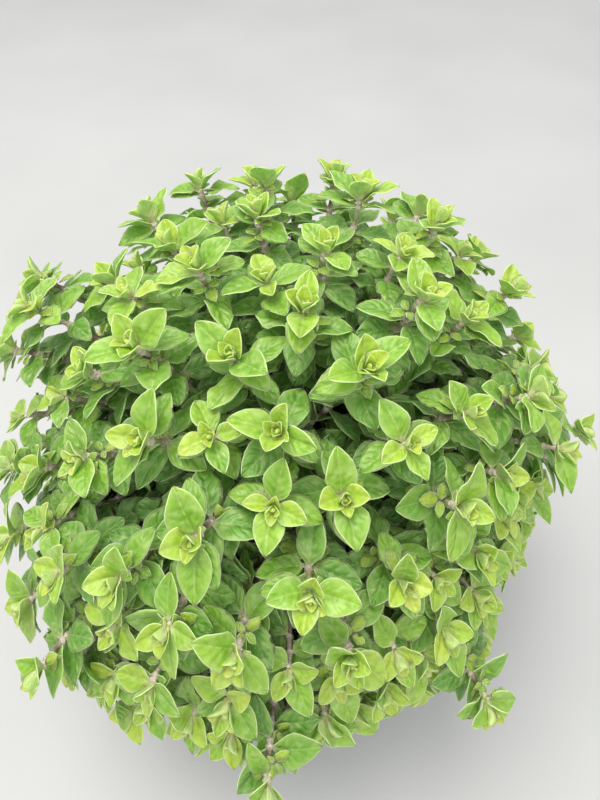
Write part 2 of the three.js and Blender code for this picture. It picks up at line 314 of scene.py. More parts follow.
MIN_CORNER, MAX_CORNER = (np.array(corner) / MM for corner in cad_box)
CELL = 20.0


class Room:
    """Everything grown so far, sorted by place, to find out whether a new blade would touch it."""

    def __init__(self):
        self.cells = {}

    def near(self, middle):
        x, y, z = (int(v // CELL) for v in middle)
        for dx, dy, dz in product((-1, 0, 1), repeat=3):
            yield from self.cells.get((x + dx, y + dy, z + dz), ())

    def add(self, tree, middle):
        self.cells.setdefault(tuple(int(v // CELL) for v in middle), []).append(tree)

    def free(self, tree, middle):
        return not any(tree.overlap(other) for other in self.near(middle))


def grid_quads(rows, columns):
    """Quads over a grid of points stored row by row, facing along x across."""
    corner = np.arange(rows * columns).reshape(rows, columns)
    loop = [corner[:-1, :-1], corner[1:, :-1], corner[1:, 1:], corner[:-1, 1:]]
    return np.stack(loop, axis=-1).reshape(-1, 4)


def tube_quads(rings, sides):
    """The walls between rings of points that follow one another."""
    starts = range(0, (rings - 1) * sides, sides)
    edges = [(start + k, start + (k + 1) % sides) for start in starts for k in range(sides)]
    return [(a, b, b + sides, a + sides) for a, b in edges]


TRIAL_ROWS, TRIAL_COLUMNS = np.array([0.16, 0.36, 0.6, 0.82, 1.0]), np.array([-1.0, 0.0, 1.0])
TRIAL_QUADS = grid_quads(len(TRIAL_ROWS), len(TRIAL_COLUMNS)).tolist()
PETIOLE = 0.1  # share of the length before the blade opens


def half_width(shares, age):
    """Half the width of a leaf at these shares of its length, as a share of its full width."""
    opened = np.clip((shares - PETIOLE) / (1 - PETIOLE), 0, 1)
    youth = max(0.35 - age, 0) / 0.35
    p, q = 0.76 - 0.06 * youth, 0.94 - 0.2 * youth
    peak = (p / (p + q)) ** p * (q / (p + q)) ** q
    petiole = 0.03 * (1 - shares) + 0.03 * np.exp(-((shares / 0.08) ** 2))
    return 0.48 * opened**p * (1 - opened) ** q / peak + petiole + 0.03


def midrib(s):
    """How near the midrib lies, from 1 on it to 0 well away from it."""
    return np.exp(-((s / 0.2) ** 2))


@dataclass(eq=False)
class Blade:
    """One leaf: where it is rooted, its axes along, across and up, and its form."""

    root: np.ndarray
    axes: tuple
    length: float
    cup: float
    bend: float
    age: float
    stem: int
    detail: int = 0
    wave: float = 0.0
    phase: float = 0.0
    twist: float = 0.0
    tone: float = 0.5
    breadth: float = 1.0
    swerve: float = 0.0

    def half(self, shares):
        """Half the width in millimetres at these shares of the length."""
        return half_width(shares, self.age) * BLADE_WIDTH * self.breadth * self.length / LEAF_LENGTH

    def surface(self, rows, columns, lift=0.0):
        """Points on the blade at these shares of its length and of its half width."""
        t, s = rows[:, None], columns[None, :]
        along, across, up = self.axes
        width = BLADE_WIDTH * self.length / LEAF_LENGTH
        half = self.half(t)
        belly = np.sin(math.pi * t)
        edge = np.abs(s) ** (1.2 + 0.9 * max(0.3 - self.age, 0) / 0.3)
        height = self.length * (0.05 * belly - self.bend * t * t) + self.cup * half * edge
        height = height - 0.035 * width * midrib(s) * belly**0.5
        height = height - 0.1 * half * np.clip(np.abs(s) - 0.7, 0, None) / 0.3 * min(1.0, self.age * 1.4)
        ripple = np.sin(2 * math.pi * 1.6 * t + self.phase + 1.3 * np.sign(s)) * belly
        height = height + self.wave * width * ripple * s * s
        height = height + self.twist * t * s * half + lift
        aside = s * half + self.swerve * self.length * t * t
        points = self.root + t[..., None] * self.length * along + aside[..., None] * across
        return sag(points + height[..., None] * up)

    def trial(self):
        points = self.surface(TRIAL_ROWS, TRIAL_COLUMNS).reshape(-1, 3)
        return points, BVHTree.FromPolygons(points.tolist(), TRIAL_QUADS), points.mean(axis=0)


# How leaves turn to the light: by this share of their lean, up to this angle.
LIGHT_TURN, LIGHT_LIMIT = 0.66, 48 * DEGREE


def to_light(axes, share):
    """The blade's axes turned some way towards the light above, as leaves are on shoots that lie over."""
    up = axes[2]
    hinge = np.cross(up, UP)
    if np.linalg.norm(hinge) < 0.01:
        return axes
    angle = min(math.acos(up @ UP) * LIGHT_TURN, LIGHT_LIMIT) * share
    return tuple(turned(axis, unit(hinge), angle) for axis in axes)


def rolled_to_light(axes, share):
    """The same by a roll about the midrib alone, which stays where it is."""
    along, across, up = axes
    level = math.hypot(across @ UP, up @ UP)
    roll = math.atan2(-(across @ UP), up @ UP) * LIGHT_TURN * level
    roll = float(np.clip(roll, -LIGHT_LIMIT, LIGHT_LIMIT)) * share
    return along, turned(across, along, roll), turned(up, along, roll)


def within_box(points):
    return (points >= MIN_CORNER).all() and (points <= MAX_CORNER).all()


def kept_inside(blade):
    """The blade, made shorter until it keeps inside the box of the solids."""
    while not within_box(blade.surface(TRIAL_ROWS, TRIAL_COLUMNS)):
        blade.length *= 0.93
    return blade


room = Room()
blades = []
random = np.random.default_rng(11)


def keep(blade, tree, middle):
    room.add(tree, middle)
    blades.append(blade)


def varied(root, axes, length, cup, bend, age, stem, detail):
    """A blade with its own draw of roll, waves, twist and tone."""
    along, across, up = axes
    roll = random.normal(0, 5 + 13 * age) * DEGREE
    across, up = across * math.cos(roll) + up * math.sin(roll), up * math.cos(roll) - across * math.sin(roll)
    return Blade(
        root,
        (along, across, up),
        length,
        cup * random.uniform(0.8, 1.35) + random.uniform(0, 0.16),
        bend + random.uniform(-0.06, 0.08),
        float(np.clip(age + random.normal(0, 0.05), 0, 1)),
        stem,
        detail,
        wave=(0.03 + 0.2 * random.random() ** 1.6) * (0.25 + age),
        phase=random.uniform(0, 2 * math.pi),
        twist=random.normal(0, 0.3) * (0.3 + age),
        tone=random.uniform(0, 1),
        breadth=random.uniform(0.9, 1.07),
        swerve=random.normal(0, 0.05),
    )


# How a blade gives way where it has no room: shares of its length, and degrees of extra tilt and turn.
WAYS = [(1, 0, 0), (1, 8, 0), (1, 0, 15), (1, 0, -15), (1, 16, 8), (1, -9, 0), (1, 20, -14), (0.88, 8, 0)]
WAYS += [(0.88, 0, 22), (0.88, 0, -22), (0.88, 26, 0), (1, 36, 0), (0.76, 0, 0), (0.76, 14, 18)]
WAYS += [(0.76, 14, -18), (0.76, 34, 0), (0.64, 0, 0), (0.64, 12, 24), (0.64, 12, -24), (0.64, 30, 0)]
WAYS += [(0.64, 46, 0), (0.5, 15, 32), (0.5, 15, -32), (0.42, 40, 0), (0.42, 5, 50), (0.42, 5, -50)]
TALLEST, PACKED_TALLEST = 124.0, 140.0  # how far from the centre the added and the first leaves may reach
RIM_GAP, TOP_GAP = 1.5, 1.0  # kept clear of the pot by the added leaves, round its rim and over it
FINEST_SHORT = 2  # the finest mesh for a leaf cut short by half


def ways_to_grow(ways):
    """Each way first turned well to the light and then hardly."""
    for way in ways:
        yield *way, 1.0
        yield *way, 0.25


def allowed(points, reach):
    """Whether a blade is inside the solids' box, within reach of the centre and off the pot."""
    over_pot = np.hypot(points[:, 0], points[:, 1]) < POT_RIM + RIM_GAP
    low = points[:, 2] < POT_HEIGHT + TOP_GAP
    near = np.linalg.norm(points - CENTRE, axis=1).max() <= reach
    return near and within_box(points) and not (over_pot & low).any()


def try_blade(root, out, axis, size, tilt, form, ways=WAYS, reach=TALLEST, face=to_light):
    """Grows a blade where it has room and says if it did. Its form is cup, bend, age, stem and detail."""
    across = np.cross(axis, out)
    *shape, detail = form
    for share, more_tilt, yaw, light in ways_to_grow(ways):
        turned_out = turned(out, axis, yaw * DEGREE)
        turned_across = turned(across, axis, yaw * DEGREE)
        axes = face(blade_axes(turned_out, turned_across, axis, tilt + more_tilt * DEGREE), light)
        fineness = max(detail, FINEST_SHORT) if share <= 0.5 else detail
        blade = varied(root, axes, LEAF_LENGTH * size * share, *shape, fineness)
        points, tree, middle = blade.trial()
        if allowed(points, reach) and room.free(tree, middle):
            keep(blade, tree, middle)
            return True
    return False


# ---- Shoots ----


@dataclass(eq=False)
class Shoot:
    """A stem along its path, from where it starts to its tip."""

    path: list
    thick: tuple  # at its start and at its tip
    stem: int
    sides: list = None  # four directions square to the stem
    tip: Tip = None  # of a packed shoot
    vigour: float = 1.0
    nodes: list = field(default_factory=list)  # depths below the tip where leaves stand

    def __post_init__(self):
        self.path = np.array(self.path)
        steps = np.linalg.norm(np.diff(self.path, axis=0), axis=1)
        self.run = np.concatenate([[0], np.cumsum(steps)])

    def at(self, depth):
        """The point and the axis at a depth below the tip."""
        place = max(self.run[-1] - depth, 0)
        i = min(int(np.searchsorted(self.run, place, side="right")) - 1, len(self.path) - 2)
        share = (place - self.run[i]) / (self.run[i + 1] - self.run[i])
        return self.path[i] + share * (self.path[i + 1] - self.path[i]), unit(self.path[i + 1] - self.path[i])


shoots = []
stem_number = {id(leader): number for number, leader in enumerate(leaders)}


def foot_of(tip):
    polar = math.acos(tip.direction[2])
    spread = CROWN_RADIUS * math.sin(polar / 2) / math.sin(LOWEST_POLAR / 2)
    flat = unit(np.array([tip.direction[0], tip.direction[1], 0]))
    return flat * spread + UP * (SOIL_TOP - CROWN_DEPTH)


def leader_path(tip):
    foot = foot_of(tip)
    collar = np.array([foot[0], foot[1], SOIL_TOP + CROWN_COLLAR])
    spread = math.hypot(foot[0], foot[1])
    polar = math.acos(tip.direction[2])
    corner = outward(tip.direction, min(spread / max(math.sin(polar), 0.05), CROWN_RADIUS))
    return foot, collar, corner, outward(tip.direction, CROWN_ELBOW)


def side_path(tip, leader, order):
    start = BRANCH_START + BRANCH_STEP * (order % BRANCH_STEPS)
    first = outward(leader.direction, start)
    bend_at = outward(tip.direction, start + BRANCH_BEND * (tip.radius - start))
    return first, bend_at, outward(tip.direction, tip.radius - SHOOT_NODES[0][0] - 2 * STALK_NODE)


def grow_packed_shoot(tip, coarse, fine, nodes, thick):
    """A shoot that has its own solid: its first leaves stand as on the solid."""
    stem = stem_number[id(tip.leader)]
    stations = list(coarse)
    for depth, _, _ in nodes:
        stations.append(outward(tip.direction, tip.radius - depth - STALK_NODE))
        stations.append(outward(tip.direction, tip.radius - depth))
    frames = frames_along(stations, tip.twist)
    shoot = Shoot(fine + [outward(tip.direction, tip.radius + 2)], thick, stem, frames[-1][1], tip)
    shoots.append(shoot)
    grown = []
    for order, (depth, even, odd) in enumerate(nodes):
        first = len(coarse) + 2 * order
        axis, sides = frames[first + 1]
        middle = (stations[first] + stations[first + 1]) / 2
        shoot.nodes.append(depth + STALK_NODE / 2 + 2)
        for k in range(4):
            pair = odd if k % 2 else even
            if pair is None:
                continue
            out, across = sides[k], sides[(k + 1) % 4]
            root = middle + out * STALK_TOP / 2
            fitted = fit_blade(root, out, across, axis, pair, tip)
            if fitted:
                grown.append((pair, root - out * 0.5, out, across, axis, fitted))
    return shoot, grown


packed = []
for number, leader in enumerate(leaders):
    foot, collar, corner, elbow = leader_path(leader)
    middle = bezier(collar, corner, elbow, 2)[0]
    fine = [foot, collar] + bezier(collar, corner, elbow, 9)
    thick = (STALK_FOOT, STALK_SHOOT)
    packed.append(grow_packed_shoot(leader, [foot, collar, middle, elbow], fine, LEADER_NODES, thick))
    for order, tip in enumerate(t for t in tips if t.leader is leader and t is not leader):
        first, bend_at, last = side_path(tip, leader, order)
        middle = bezier(first, bend_at, last, 2)[0]
        fine = [first] + bezier(first, bend_at, last, 7)
        packed.append(grow_packed_shoot(tip, [first, middle], fine, SHOOT_NODES, SIDE_STALK))
packed_shoots = [shoot for shoot, _ in packed]

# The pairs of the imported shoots: first all that keep to their own cones, then those that roam.
for roams in (False, True):
    for shoot, grown in packed:
        for pair, root, out, across, axis, (length, tilt) in grown:
            if pair.roams != roams:
                continue
            size = length / LEAF_LENGTH * random.uniform(0.88, 1.04)
            lean, yaw = random.normal(0, 7) * DEGREE, random.normal(0, 8) * DEGREE
            if roams:
                lean, yaw = lean * 1.5, yaw * 1.5
            form = (pair.cup, pair.bend, pair.age, shoot.stem, 0)
            ways, face = (WAYS, to_light) if roams else (WAYS[:1], rolled_to_light)
            swung = turned(out, axis, yaw)
            if not try_blade(root, swung, axis, size, tilt + lean, form, ways, PACKED_TALLEST, face):
                blade = kept_inside(varied(root, blade_axes(out, across, axis, tilt), length + 0.5, *form))
                keep(blade, *blade.trial()[1:])

# The youngest pairs, closed round each bud: height over the tip, root off the axis, first side, size, tilt,
# bend and age.
YOUNG_PAIRS = [(0.3, 0.35, 1, 0.54, 53, -0.1, 0.12), (1.0, 0.5, 0, 0.35, 65, -0.18, 0.04)]
cores = []


def grow_bud(base, axis, sides, stem, vigour):
    opening = random.uniform(-9, 9)
    cores.append((base + axis * 1.9, axis, sides[0], 1.2 * vigour * random.uniform(0.85, 1.1), stem))
    for height, off, start, size, tilt, bend, age in YOUNG_PAIRS:
        yaw = random.uniform(-14, 14) * DEGREE
        size = size * vigour * random.uniform(0.82, 1.15)
        for k in (start, start + 2):
            out = turned(sides[k % 4], axis, yaw)
            across = np.cross(axis, out)
            root = base + axis * height + out * off
            axes = blade_axes(out, across, axis, (tilt + opening + random.uniform(-7, 7)) * DEGREE)
            length = LEAF_LENGTH * size * random.uniform(0.93, 1.07)
            blades.append(kept_inside(varied(root, axes, length, 0.7, bend, age, stem, 1)))


for shoot in packed_shoots:
    tip = shoot.tip
    grow_bud(outward(tip.direction, tip.radius), tip.direction, shoot.sides, shoot.stem, tip.vigour)

PRISM_RADIUS, PRISM_SIDES = 0.6, 3


def take_room(shoot):
    """Blocks the stem's room by thin prisms, one for each stretch of its path."""
    for start, end in zip(shoot.path[1:-1], shoot.path[2:]):
        axis = unit(end - start)
        side = unit(np.cross(axis, UP if abs(axis[2]) < 0.9 else np.array([1.0, 0, 0])))
        angles = [k * 2 * math.pi / PRISM_SIDES for k in range(PRISM_SIDES)]
        corners = [turned(side, axis, angle) * PRISM_RADIUS for angle in angles]
        points = sag(np.array([start + c for c in corners] + [end + c for c in corners]))
        room.add(BVHTree.FromPolygons(points.tolist(), tube_quads(2, PRISM_SIDES)), points.mean(axis=0))


for shoot in shoots:
    take_room(shoot)


def sides_at(shoot, depth):
    """The point and the axis at a depth, and four directions square to the axis there."""
    point, axis = shoot.at(depth)
    return point, axis, [unit(side - axis * side.dot(axis)) for side in shoot.sides]


TINY_PAIRS = [(1.4, 1.0), (2.6, 0.7)]  # height over the foot and share of the size


def grow_axil(root, out, axis, stem, size):
    """A tiny side shoot in the angle over a leaf."""
    aim = unit(out * 0.75 + axis)
    along = unit(axis - aim * aim.dot(axis))
    start = root + out * 0.4 + axis * 0.6
    for (height, share), first in zip(TINY_PAIRS, (along, np.cross(aim, along))):
        for way_out in (first, -first):
            form = (0.3, 0.0, 0.3, stem, 3)
            try_blade(start + aim * height, way_out, aim, size * share, 28 * DEGREE, form, WAYS[:16:4])


def grow_pairs(grown_on, nodes, off=0.5, sway=9, least=0.88, most=1.05):
    """A pair of leaves at each depth, with tilt and size a little different each time."""
    for depth, start, size, tilt, age, detail, *curve in nodes:
        cup, bend = curve or (0.12, 0.16)
        for shoot in grown_on:
            if depth > shoot.run[-1] - 6:
                continue
            point, axis, sides = sides_at(shoot, depth)
            shoot.nodes.append(depth)
            for k in (start, start + 2):
                share = size * shoot.vigour * random.uniform(least, most)
                lean = random.normal(tilt, sway) * DEGREE
                form = (cup, bend, age, shoot.stem, detail)
                try_blade(point + sides[k] * off, sides[k], axis, share, lean, form)


grow_pairs(packed_shoots, [(4.6, 1, 0.98, 24, 0.5, 1), (13.6, 1, 1.06, 18, 0.66, 1)])


def grow_stem(direction, start, elbow, radius, steps, thick):
    """A shoot without a solid of its own, which leaves the nearest leader and straightens at its elbow."""
    leader = nearest(leaders, direction)
    first = outward(leader.direction, start)
    path = [first] + bezier(first, outward(direction, elbow), outward(direction, radius), steps)
    axis = unit(path[-1] - path[-2])
    side = turned(unit(np.cross(axis, UP + 0.1)), axis, random.uniform(0, math.pi))
    sides = [turned(side, axis, k * math.pi / 2) for k in range(4)]
    shoot = Shoot(path, thick, stem_number[id(leader)], sides)
    shoots.append(shoot)
    take_room(shoot)
    return shoot, axis


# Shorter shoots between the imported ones, where there is most room.
FILLS = 126
FILL_STALK = (1.3, 1.1)
FILL_NODES = [  # depth, first side, size, tilt, age, detail, cup, bend
    (0.0, 0, 0.74, 48, 0.24, 0, 0.3, 0.0),
    (0.8, 1, 0.96, 26, 0.42, 0, 0.2, 0.1),
    (4.8, 0, 1.0, 22, 0.5, 1, 0.14, 0.14),
    (9.5, 1, 1.02, 18, 0.6, 1, 0.12, 0.16),
    (14.5, 0, 1.0, 16, 0.7, 1, 0.1, 0.18),
]
FILL_NODES += [(20, 1, 0.98, 14, 0.82, 2, 0.1, 0.16), (27, 0, 0.95, 14, 0.95, 2, 0.1, 0.16)]
FILL_NODES += [(34, 1, 0.92, 14, 1.0, 3, 0.1, 0.16), (41, 0, 0.9, 14, 1.0, 3, 0.1, 0.16)]
CANDIDATES = 6000  # directions that a fill shoot may take
candidates = []
for index in range(CANDIDATES):
    polar = math.acos(1 - (index + 0.5) / CANDIDATES * (1 - math.cos(LOWEST_POLAR - 3 * DEGREE)))
    candidates.append(direction_of(polar, index * GOLDEN_ANGLE))
candidates = np.array(candidates)
lowness = 0.012 * np.clip((np.degrees(np.arccos(candidates[:, 2])) - 55) / 40, 0, 1)
closeness = (candidates @ tip_directions.T).max(axis=1)
fills = []
for _ in range(FILLS):
    direction = candidates[int(np.argmin(closeness - lowness))]
    closeness = np.maximum(closeness, candidates @ direction)
    around = sorted(tips, key=lambda tip: -tip.direction.dot(direction))[:3]
    radius = sorted(tip.radius for tip in around)[1] - 3 + 4.5 * random.uniform(-1, 1)
    shoot, axis = grow_stem(direction, 58 + 8 * random.random(), 68, radius, 8, FILL_STALK)
    shoot.vigour = random.uniform(0.88, 1.05)
    fills.append(shoot)
    grow_bud(shoot.path[-1], axis, shoot.sides, shoot.stem, shoot.vigour)
grow_pairs(fills, FILL_NODES, 0.4, 8, 0.86, 1.1)

# Short leafy shoots inside the lowest part of the bush, all the way round.
SKIRT = 32
SKIRT_STALK = (1.2, 0.9)
SKIRT_NODES = [(0.6, 0, 0.96, 22, 0.7, 2), (5, 1, 1.0, 18, 0.8, 2)]
SKIRT_NODES += [(11, 0, 1.0, 16, 0.9, 3), (17, 1, 0.96, 16, 1.0, 3)]
skirt = []
for number in range(SKIRT):
    azimuth = (number + random.uniform(-0.3, 0.3)) * 2 * math.pi / SKIRT
    direction = direction_of(random.uniform(80, 98) * DEGREE, azimuth)
    radius = min(random.uniform(82, 90), nearest(tips, direction).radius - 14)
    skirt.append(grow_stem(direction, 60, 66, radius, 5, SKIRT_STALK)[0])
grow_pairs(skirt, SKIRT_NODES)

# Older pairs further down each packed shoot, and tiny shoots in the angles of its leaves.
OLDER_NODES = [(18, 0, 1.06, 18, 0.74, 1), (24, 1, 1.04, 18, 0.8, 2)]
OLDER_NODES += [(31, 0, 1.02, 18, 0.88, 2), (38, 1, 1.0, 18, 0.94, 2)]
OLDER_NODES += [(depth, order % 2, 0.98, 18, 1.0, 3) for order, depth in enumerate(range(43, 76, 5))]
grow_pairs(packed_shoots, OLDER_NODES)
AXILS = [(4.8, 1), (9.8, 0), (18, 0), (24, 1)]  # depth and first side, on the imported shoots
FILL_AXILS = [(4.8, 0)]
AXIL_CHANCE = 0.6
axil_places = [(shoot, AXILS) for shoot in packed_shoots] + [(shoot, FILL_AXILS) for shoot in fills]
for shoot, places in axil_places:
    for depth, first in places:
        if depth < shoot.run[-1] - 8:
            point, axis, sides = sides_at(shoot, depth + 0.4)
            for k in (first, first + 2):
                if random.random() < AXIL_CHANCE:
                    grow_axil(point, sides[k], axis, shoot.stem, random.uniform(0.34, 0.52))


# ---- Making meshes ----


def new_piece(name, points, faces, attributes, material, node):
    """A mesh piece in metres, with its attributes, that stands for a node of the solids."""
    mesh = bpy.data.meshes.new(name)
    mesh.from_pydata((np.asarray(points) * MM).tolist(), [], faces)
    mesh.validate()
    for label, values in attributes.items():
        layer = mesh.attributes.new(label, "FLOAT_VECTOR", "POINT")
        layer.data.foreach_set("vector", np.asarray(values, dtype=np.float32).ravel())
    mesh.polygons.foreach_set("use_smooth", [True] * len(mesh.polygons))
    mesh.materials.append(material)
    piece = bpy.data.objects.new(name, mesh)
    bpy.context.scene.collection.objects.link(piece)
    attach(piece, "root")
    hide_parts(node)
    return piece


class Heap:
    """Points, faces and attributes of many small closed forms, gathered into one mesh."""

    def __init__(self, *labels):
        self.points = []
        self.faces = []
        self.attributes = {label: [] for label in labels}
        self.count = 0

    def add(self, points, faces, **attributes):
        """Adds a form. An attribute is given for each of its points, or once for all of them."""
        self.points.append(np.asarray(points))
        self.faces.extend([corner + self.count for corner in face] for face in faces)
        for label, values in attributes.items():
            self.attributes[label].append(np.broadcast_to(values, (len(points), 3)))
        self.count += len(points)

    def piece(self, name, material, node, slot):
        attributes = {label: np.concatenate(values) for label, values in self.attributes.items()}
        return new_piece(name, np.concatenate(self.points), self.faces, attributes, material, node)


# Where a leaf has points, in shares of its length and half width, from the finest mesh to the coarsest.
ROWS = [
    [0, 0.06, 0.14, 0.23, 0.34, 0.46, 0.59, 0.72, 0.84, 0.94, 1.0],
    [0, 0.08, 0.18, 0.31, 0.47, 0.63, 0.79, 0.92, 1.0],
    [0, 0.14, 0.34, 0.58, 0.82, 1.0],
    [0, 0.25, 0.6, 0.85, 1.0],
]
COLUMNS = [[-1, -0.9, -0.45, 0, 0.45, 0.9, 1], [-1, -0.7, 0, 0.7, 1], [-1, -0.6, 0, 0.6, 1], [-1, 0, 1]]
LEAF_THICKNESS = 0.34


def closed_quads(rows, columns):
    """Quads of a sheet with two sides that share their border, facing outwards on both."""
    top = np.arange(rows * columns).reshape(rows, columns)
    under = top.copy()
    under[1:-1, 1:-1] = rows * columns + np.arange((rows - 2) * (columns - 2)).reshape(rows - 2, columns - 2)
    quads = grid_quads(rows, columns)
    return np.concatenate([top.ravel()[quads], under.ravel()[quads][:, ::-1]]).tolist()


LEAF_QUADS = [closed_quads(len(rows), len(columns)) for rows, columns in zip(ROWS, COLUMNS)]
RIM_SIDE, TOP_SIDE, UNDER_SIDE = 0.7, 1.0, 0.0  # which face of the blade a point is on


def add_leaf(heap, blade):
    rows, columns = np.array(ROWS[blade.detail]), np.array(COLUMNS[blade.detail])
    t, s = np.meshgrid(rows, columns, indexing="ij")
    border = (np.abs(s) == 1) | (t == 0) | (t == 1)
    rib = midrib(s) * (1 - t) * 0.5 + 0.6 * np.exp(-((t / 0.12) ** 2))
    upper = blade.surface(rows, columns, np.where(border, 0, LEAF_THICKNESS / 2))
    lower = blade.surface(rows, columns, np.where(border, 0, -LEAF_THICKNESS / 2 - rib * 0.5))
    place = np.stack([s, t, blade.half(t)], axis=-1)
    age, tone, under = (np.full(t.shape, value) for value in (blade.age, blade.tone, UNDER_SIDE))
    sides = np.where(border, RIM_SIDE, TOP_SIDE), under
    growth = [np.stack([age, tone, side], axis=-1) for side in sides]

    def both(top, under):
        """Values on the whole upper face and on the inner part of the lower one."""
        return np.concatenate([top.reshape(-1, 3), under[1:-1, 1:-1].reshape(-1, 3)])

    heap.add(both(upper, lower), LEAF_QUADS[blade.detail], blade=both(place, place), growth=both(*growth))


CORE_SIDES = 8
CORE_RINGS = [(-1.2, 0.7), (-0.2, 1.0), (1.0, 0.9), (2.0, 0.5)]  # height and radius, in core radii
CORE_TOP = 2.4


def add_core(heap, middle, axis, side, size):
    """The closed heart of a bud: two tiny leaves pressed together, with their pale rims as a seam."""
    across = np.cross(axis, side)
    points, place = [], []
    for height, reach in CORE_RINGS:
        for k in range(CORE_SIDES):
            angle = k * 2 * math.pi / CORE_SIDES
            spread = side * math.cos(angle) + across * math.sin(angle) * 0.8
            points.append(middle + (axis * height + spread * reach) * size)
            place.append((1.0 if k % 4 == 0 else 0.2, 0.6, 0.5))
    points.append(middle + axis * CORE_TOP * size)
    place.append((1.0, 0.6, 0.5))
    faces = [tuple(reversed(range(CORE_SIDES)))] + tube_quads(len(CORE_RINGS), CORE_SIDES)
    last = (len(CORE_RINGS) - 1) * CORE_SIDES
    faces += [(last + k, last + (k + 1) % CORE_SIDES, last + CORE_SIDES) for k in range(CORE_SIDES)]
    heap.add(sag(points), faces, blade=place, growth=(0, 0, 1))


STALK_CORNERS = 6
RING_STEP = 4.0
NODE_HALF = 0.9  # how far a node's swelling reaches each way


def stalk_rings(shoot):
    """From a shoot's tip to its start: ring centres, axes, sides, half widths, depths and swellings."""
    total = shoot.run[-1]
    node_depths = np.array(shoot.nodes)
    extra = [depth + step for depth in node_depths for step in (-NODE_HALF, 0, NODE_HALF)]
    places = np.concatenate([np.linspace(0, total, max(int(total / RING_STEP), 3)), extra])
    places = np.unique(np.clip(places, 0, total))
    places = places[np.concatenate([[True], np.diff(places) > 0.35])]
    side = shoot.sides[0]
    start_thick, tip_thick = shoot.thick
    rings = []
    for depth in places:
        point, axis = shoot.at(depth)
        side = unit(side - axis * side.dot(axis))
        share = depth / total
        half = (tip_thick * (1 - share) + start_thick * share) / 2 * min(1, 0.45 + depth / 5)
        swell = np.exp(-((node_depths - depth) ** 2)).max() if len(node_depths) else 0
        half *= 1 + (0.95 + 0.75 * math.exp(-depth / 14)) * swell
        rings.append((point, axis, side, half, depth, swell))
    return rings


def add_stalk(heap, shoot):
    rings = stalk_rings(shoot)
    points, growth = [], []
    tone = random.uniform(0, 1)
    for point, axis, side, half, depth, swell in rings:
        across = np.cross(axis, side)
        for k in range(STALK_CORNERS):
            angle = (k + 0.5) * 2 * math.pi / STALK_CORNERS
            square = 1 + 0.12 * math.cos(4 * (angle - math.pi / 4))
            points.append(point + (side * math.cos(angle) + across * math.sin(angle)) * half * square)
            growth.append((depth / 50, tone, swell))
    faces = [(b, a, d, c) for a, b, c, d in tube_quads(len(rings), STALK_CORNERS)]
    ends = range(STALK_CORNERS), range(len(points) - 1, len(points) - STALK_CORNERS - 1, -1)
    heap.add(sag(points), faces + [tuple(end) for end in ends], growth=growth, fuzz=(0, 0, 0))


HAIRS, HAIRY_DEPTH = 40, 24.0  # hairs on a shoot, and how far below its tip
HAIR_FACES = np.array([(0, 2, 1), (0, 1, 3), (1, 2, 3), (2, 0, 3)])


def add_hairs(heap, shoot):
    """Fine pale hairs, thickest about the nodes nearest the tip."""
    hairs = []
    near_nodes = [depth for depth in shoot.nodes if depth < HAIRY_DEPTH]
    for _ in range(HAIRS):
        if near_nodes and random.random() < 0.6:
            depth = random.choice(near_nodes) + random.normal(0, 1.2)
        else:
            depth = random.uniform(1, HAIRY_DEPTH)
        point, axis = shoot.at(float(np.clip(depth, 0.5, shoot.run[-1])))
        across = unit(np.cross(axis, random.normal(size=3)))
        aim = unit(across + axis * random.normal(0.1, 0.3))
        side = unit(np.cross(aim, axis))
        third = np.cross(aim, side)
        start = point + across * 0.5
        back = start - side * 0.02
        corners = [start + side * 0.035, back + third * 0.03, back - third * 0.03]
        hairs.append(np.array(corners + [start + aim * random.uniform(0.5, 1.15)]))
    faces = (HAIR_FACES[None] + 4 * np.arange(len(hairs))[:, None, None]).reshape(-1, 3)
    heap.add(sag(np.concatenate(hairs)), faces.tolist(), growth=(0, 0.5, 0), fuzz=(1, 1, 1))


# ---- Materials ----


def colour(red, green, blue):
    """A colour on a screen's scale of 0 to 255, as the light that it stands for."""
    channels = [channel / 255 for channel in (red, green, blue)]
    return [c / 12.92 if c <= 0.04045 else ((c + 0.055) / 1.055) ** 2.4 for c in channels] + [1.0]


